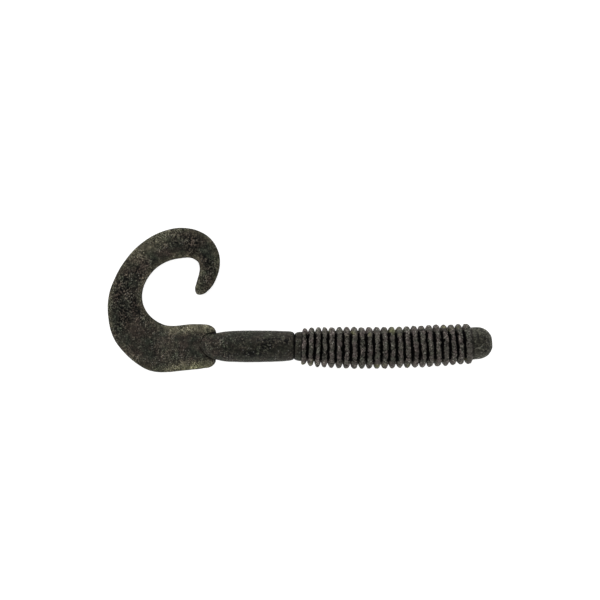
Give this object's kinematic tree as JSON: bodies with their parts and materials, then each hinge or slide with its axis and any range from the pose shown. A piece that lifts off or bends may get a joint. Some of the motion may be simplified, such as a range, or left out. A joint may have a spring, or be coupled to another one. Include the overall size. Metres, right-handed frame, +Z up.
{
  "type": "soft plastic worm",
  "caption": "Ringed soft plastic fishing worm with a blunt head, a smooth neck bar and a flat curled tail that bends at its grooves and along its blade.",
  "frame": {"origin": "on the surface that the worm lies on, under the middle of its bounding box", "axes": "+X from the tail towards the head, along the body; +Y to the side that the tail curls to; +Z up from the surface"},
  "size_m": [0.1024, 0.0388, 0.0107],
  "materials": {
    "body_plastic": "satin",
    "tail_plastic": "satin"
  },
  "bodies": {
    "head": {"head": "body_plastic"},
    "ring_01": {"ring_01": "body_plastic"},
    "ring_02": {"ring_02": "body_plastic"},
    "ring_03": {"ring_03": "body_plastic"},
    "ring_04": {"ring_04": "body_plastic"},
    "ring_05": {"ring_05": "body_plastic"},
    "ring_06": {"ring_06": "body_plastic"},
    "ring_07": {"ring_07": "body_plastic"},
    "ring_08": {"ring_08": "body_plastic"},
    "ring_09": {"ring_09": "body_plastic"},
    "ring_10": {"ring_10": "body_plastic"},
    "ring_11": {"ring_11": "body_plastic"},
    "ring_12": {"ring_12": "body_plastic"},
    "ring_13": {"ring_13": "body_plastic"},
    "ring_14": {"ring_14": "body_plastic"},
    "ring_15": {"ring_15": "body_plastic"},
    "ring_16": {"ring_16": "body_plastic"},
    "ring_17": {"ring_17": "body_plastic"},
    "ring_18": {"ring_18": "body_plastic"},
    "ring_19": {"ring_19": "body_plastic"},
    "ring_20": {"ring_20": "body_plastic"},
    "ring_21": {"ring_21": "body_plastic"},
    "ring_22": {"ring_22": "body_plastic"},
    "ring_23": {"ring_23": "body_plastic"},
    "collar": {"collar": "body_plastic"},
    "smooth_bar": {"smooth_bar": "body_plastic"},
    "tail_root": {"tail_root": "tail_plastic"},
    "tail_paddle": {"tail_paddle": "tail_plastic"},
    "curl_link_1": {"curl_link_1": "tail_plastic"},
    "curl_link_2": {"curl_link_2": "tail_plastic"},
    "curl_link_3": {"curl_link_3": "tail_plastic"},
    "curl_link_4": {"curl_link_4": "tail_plastic"},
    "curl_link_5": {"curl_link_5": "tail_plastic"},
    "curl_link_6": {"curl_link_6": "tail_plastic"},
    "curl_link_7": {"curl_link_7": "tail_plastic"},
    "tail_tip": {"tail_tip": "tail_plastic"}
  },
  "joints": [
    {"name": "front_sway", "type": "hinge", "parent": "head", "child": "ring_01", "pos_m": [0.04555, -0.0116, 0.00536], "axis": [0.004, 0.0003, 1], "range_deg": [-8, 8], "stiffness_Nm_per_rad": 0.05},
    {"name": "front_lift", "type": "hinge", "parent": "ring_01", "child": "ring_02", "pos_m": [0.0436, -0.01173, 0.00536], "axis": [-0.0646, 0.9979, 0], "range_deg": [0, 7], "stiffness_Nm_per_rad": 0.05},
    {"name": "groove_03_sway", "type": "hinge", "parent": "ring_02", "child": "ring_03", "pos_m": [0.04164, -0.01186, 0.00536], "axis": [0.004, 0.0002, 1], "range_deg": [-8, 8]},
    {"name": "groove_04_lift", "type": "hinge", "parent": "ring_03", "child": "ring_04", "pos_m": [0.03968, -0.01198, 0.00536], "axis": [-0.0545, 0.9985, 0], "range_deg": [0, 7]},
    {"name": "groove_05_sway", "type": "hinge", "parent": "ring_04", "child": "ring_05", "pos_m": [0.03772, -0.01208, 0.00536], "axis": [0.004, 0.0002, 1], "range_deg": [-8, 8]},
    {"name": "groove_06_lift", "type": "hinge", "parent": "ring_05", "child": "ring_06", "pos_m": [0.03576, -0.01218, 0.00536], "axis": [-0.0445, 0.999, 0], "range_deg": [0, 7]},
    {"name": "groove_07_sway", "type": "hinge", "parent": "ring_06", "child": "ring_07", "pos_m": [0.03381, -0.01227, 0.00536], "axis": [0.004, 0.0002, 1], "range_deg": [-8, 8]},
    {"name": "groove_08_lift", "type": "hinge", "parent": "ring_07", "child": "ring_08", "pos_m": [0.03185, -0.01235, 0.00536], "axis": [-0.0344, 0.9994, 0], "range_deg": [0, 7]},
    {"name": "groove_09_sway", "type": "hinge", "parent": "ring_08", "child": "ring_09", "pos_m": [0.02989, -0.01241, 0.00536], "axis": [0.004, 0.0001, 1], "range_deg": [-8, 8]},
    {"name": "groove_10_lift", "type": "hinge", "parent": "ring_09", "child": "ring_10", "pos_m": [0.02793, -0.01247, 0.00536], "axis": [-0.0243, 0.9997, 0], "range_deg": [0, 7]},
    {"name": "groove_11_sway", "type": "hinge", "parent": "ring_10", "child": "ring_11", "pos_m": [0.02598, -0.01252, 0.00536], "axis": [0.004, 0.0001, 1], "range_deg": [-8, 8]},
    {"name": "groove_12_lift", "type": "hinge", "parent": "ring_11", "child": "ring_12", "pos_m": [0.02402, -0.01256, 0.00536], "axis": [-0.0142, 0.9999, 0], "range_deg": [0, 7]},
    {"name": "rear_sway", "type": "hinge", "parent": "ring_12", "child": "ring_13", "pos_m": [0.02206, -0.01258, 0.00536], "axis": [-0.004, 0, -1], "range_deg": [-8, 8], "stiffness_Nm_per_rad": 0.05},
    {"name": "rear_lift", "type": "hinge", "parent": "ring_13", "child": "ring_14", "pos_m": [0.0201, -0.0126, 0.00536], "axis": [-0.0041, 1, 0], "range_deg": [0, 7], "stiffness_Nm_per_rad": 0.05},
    {"name": "groove_15_sway", "type": "hinge", "parent": "ring_14", "child": "ring_15", "pos_m": [0.01814, -0.01261, 0.00536], "axis": [-0.004, 0, -1], "range_deg": [-8, 8]},
    {"name": "groove_16_lift", "type": "hinge", "parent": "ring_15", "child": "ring_16", "pos_m": [0.01619, -0.01261, 0.00536], "axis": [0.006, 1, 0], "range_deg": [0, 7]},
    {"name": "groove_17_sway", "type": "hinge", "parent": "ring_16", "child": "ring_17", "pos_m": [0.01423, -0.0126, 0.00536], "axis": [-0.004, 0, -1], "range_deg": [-8, 8]},
    {"name": "groove_18_lift", "type": "hinge", "parent": "ring_17", "child": "ring_18", "pos_m": [0.01227, -0.01257, 0.00536], "axis": [0.0161, 0.9999, 0], "range_deg": [0, 7]},
    {"name": "groove_19_sway", "type": "hinge", "parent": "ring_18", "child": "ring_19", "pos_m": [0.01031, -0.01254, 0.00536], "axis": [-0.004, 0.0001, -1], "range_deg": [-8, 8]},
    {"name": "groove_20_lift", "type": "hinge", "parent": "ring_19", "child": "ring_20", "pos_m": [0.00835, -0.0125, 0.00536], "axis": [0.0262, 0.9997, 0], "range_deg": [0, 7]},
    {"name": "groove_21_sway", "type": "hinge", "parent": "ring_20", "child": "ring_21", "pos_m": [0.00639, -0.01245, 0.00536], "axis": [-0.004, 0.0001, -1], "range_deg": [-8, 8]},
    {"name": "groove_22_lift", "type": "hinge", "parent": "ring_21", "child": "ring_22", "pos_m": [0.00444, -0.01239, 0.00536], "axis": [0.0363, 0.9993, 0], "range_deg": [0, 7]},
    {"name": "groove_23_sway", "type": "hinge", "parent": "ring_22", "child": "ring_23", "pos_m": [0.00248, -0.01232, 0.00536], "axis": [-0.004, 0.0002, -1], "range_deg": [-8, 8]},
    {"name": "groove_24_lift", "type": "hinge", "parent": "ring_23", "child": "collar", "pos_m": [0.00052, -0.01224, 0.00536], "axis": [0.0439, 0.999, 0], "range_deg": [0, 7]},
    {"name": "neck_bend", "type": "hinge", "parent": "collar", "child": "smooth_bar", "pos_m": [-0.00131, -0.01213, 0.00536], "axis": [0.004, 0, 1], "range_deg": [-12, 12], "stiffness_Nm_per_rad": 0.02},
    {"name": "tail_lift", "type": "hinge", "parent": "smooth_bar", "child": "tail_root", "pos_m": [-0.02186, -0.01213, 0.00536], "axis": [0, 1, 0], "range_deg": [0, 10], "stiffness_Nm_per_rad": 0.002},
    {"name": "tail_paddle_lift", "type": "hinge", "parent": "tail_root", "child": "tail_paddle", "pos_m": [-0.02776, -0.01224, 0.00497], "axis": [-0.0201, 0.9998, 0], "range_deg": [0, 14]},
    {"name": "tail_uncurl", "type": "hinge", "parent": "tail_paddle", "child": "curl_link_1", "pos_m": [-0.03692, -0.01299, 0.00181], "axis": [-0.294, 0.0279, 0.9554], "range_deg": [-6, 12], "stiffness_Nm_per_rad": 0.0004},
    {"name": "curl_link_2_lift", "type": "hinge", "parent": "curl_link_1", "child": "curl_link_2", "pos_m": [-0.04344, -0.00907, 0.00098], "axis": [0.7649, 0.6441, 0], "range_deg": [0, 14]},
    {"name": "curl_link_3_uncurl", "type": "hinge", "parent": "curl_link_2", "child": "curl_link_3", "pos_m": [-0.04644, -0.00242, 0.00096], "axis": [-0.0004, 0.0031, 1], "range_deg": [-6, 12]},
    {"name": "curl_link_4_lift", "type": "hinge", "parent": "curl_link_3", "child": "curl_link_4", "pos_m": [-0.04556, 0.00445, 0.00093], "axis": [0.9318, -0.3629, 0], "range_deg": [0, 14]},
    {"name": "curl_link_5_uncurl", "type": "hinge", "parent": "curl_link_4", "child": "curl_link_5", "pos_m": [-0.04186, 0.01036, 0.0009], "axis": [0.0031, 0.0035, 1], "range_deg": [-6, 12]},
    {"name": "curl_link_6_lift", "type": "hinge", "parent": "curl_link_5", "child": "curl_link_6", "pos_m": [-0.0362, 0.01436, 0.00087], "axis": [0.3626, -0.9319, 0], "range_deg": [0, 14]},
    {"name": "curl_link_7_uncurl", "type": "hinge", "parent": "curl_link_6", "child": "curl_link_7", "pos_m": [-0.02974, 0.0154, 0.00083], "axis": [0.0062, -0.0006, 1], "range_deg": [-6, 12]},
    {"name": "tail_tip_uncurl", "type": "hinge", "parent": "curl_link_7", "child": "tail_tip", "pos_m": [-0.02485, 0.01235, 0.00079], "axis": [0.0035, -0.006, 1], "range_deg": [-6, 12]}
  ],
  "couplings": [
    {"joint": "groove_03_sway", "follows": "front_sway", "ratio": 1},
    {"joint": "groove_04_lift", "follows": "front_lift", "ratio": 1},
    {"joint": "groove_05_sway", "follows": "front_sway", "ratio": 1},
    {"joint": "groove_06_lift", "follows": "front_lift", "ratio": 1},
    {"joint": "groove_07_sway", "follows": "front_sway", "ratio": 1},
    {"joint": "groove_08_lift", "follows": "front_lift", "ratio": 1},
    {"joint": "groove_09_sway", "follows": "front_sway", "ratio": 1},
    {"joint": "groove_10_lift", "follows": "front_lift", "ratio": 1},
    {"joint": "groove_11_sway", "follows": "front_sway", "ratio": 1},
    {"joint": "groove_12_lift", "follows": "front_lift", "ratio": 1},
    {"joint": "groove_15_sway", "follows": "rear_sway", "ratio": 1},
    {"joint": "groove_16_lift", "follows": "rear_lift", "ratio": 1},
    {"joint": "groove_17_sway", "follows": "rear_sway", "ratio": 1},
    {"joint": "groove_18_lift", "follows": "rear_lift", "ratio": 1},
    {"joint": "groove_19_sway", "follows": "rear_sway", "ratio": 1},
    {"joint": "groove_20_lift", "follows": "rear_lift", "ratio": 1},
    {"joint": "groove_21_sway", "follows": "rear_sway", "ratio": 1},
    {"joint": "groove_22_lift", "follows": "rear_lift", "ratio": 1},
    {"joint": "groove_23_sway", "follows": "rear_sway", "ratio": 1},
    {"joint": "groove_24_lift", "follows": "rear_lift", "ratio": 1},
    {"joint": "tail_paddle_lift", "follows": "tail_lift", "ratio": 1.4},
    {"joint": "curl_link_2_lift", "follows": "tail_lift", "ratio": 1.4},
    {"joint": "curl_link_3_uncurl", "follows": "tail_uncurl", "ratio": 1},
    {"joint": "curl_link_4_lift", "follows": "tail_lift", "ratio": 1.4},
    {"joint": "curl_link_5_uncurl", "follows": "tail_uncurl", "ratio": 1},
    {"joint": "curl_link_6_lift", "follows": "tail_lift", "ratio": 1.4},
    {"joint": "curl_link_7_uncurl", "follows": "tail_uncurl", "ratio": 1},
    {"joint": "tail_tip_uncurl", "follows": "tail_uncurl", "ratio": 1}
  ]
}
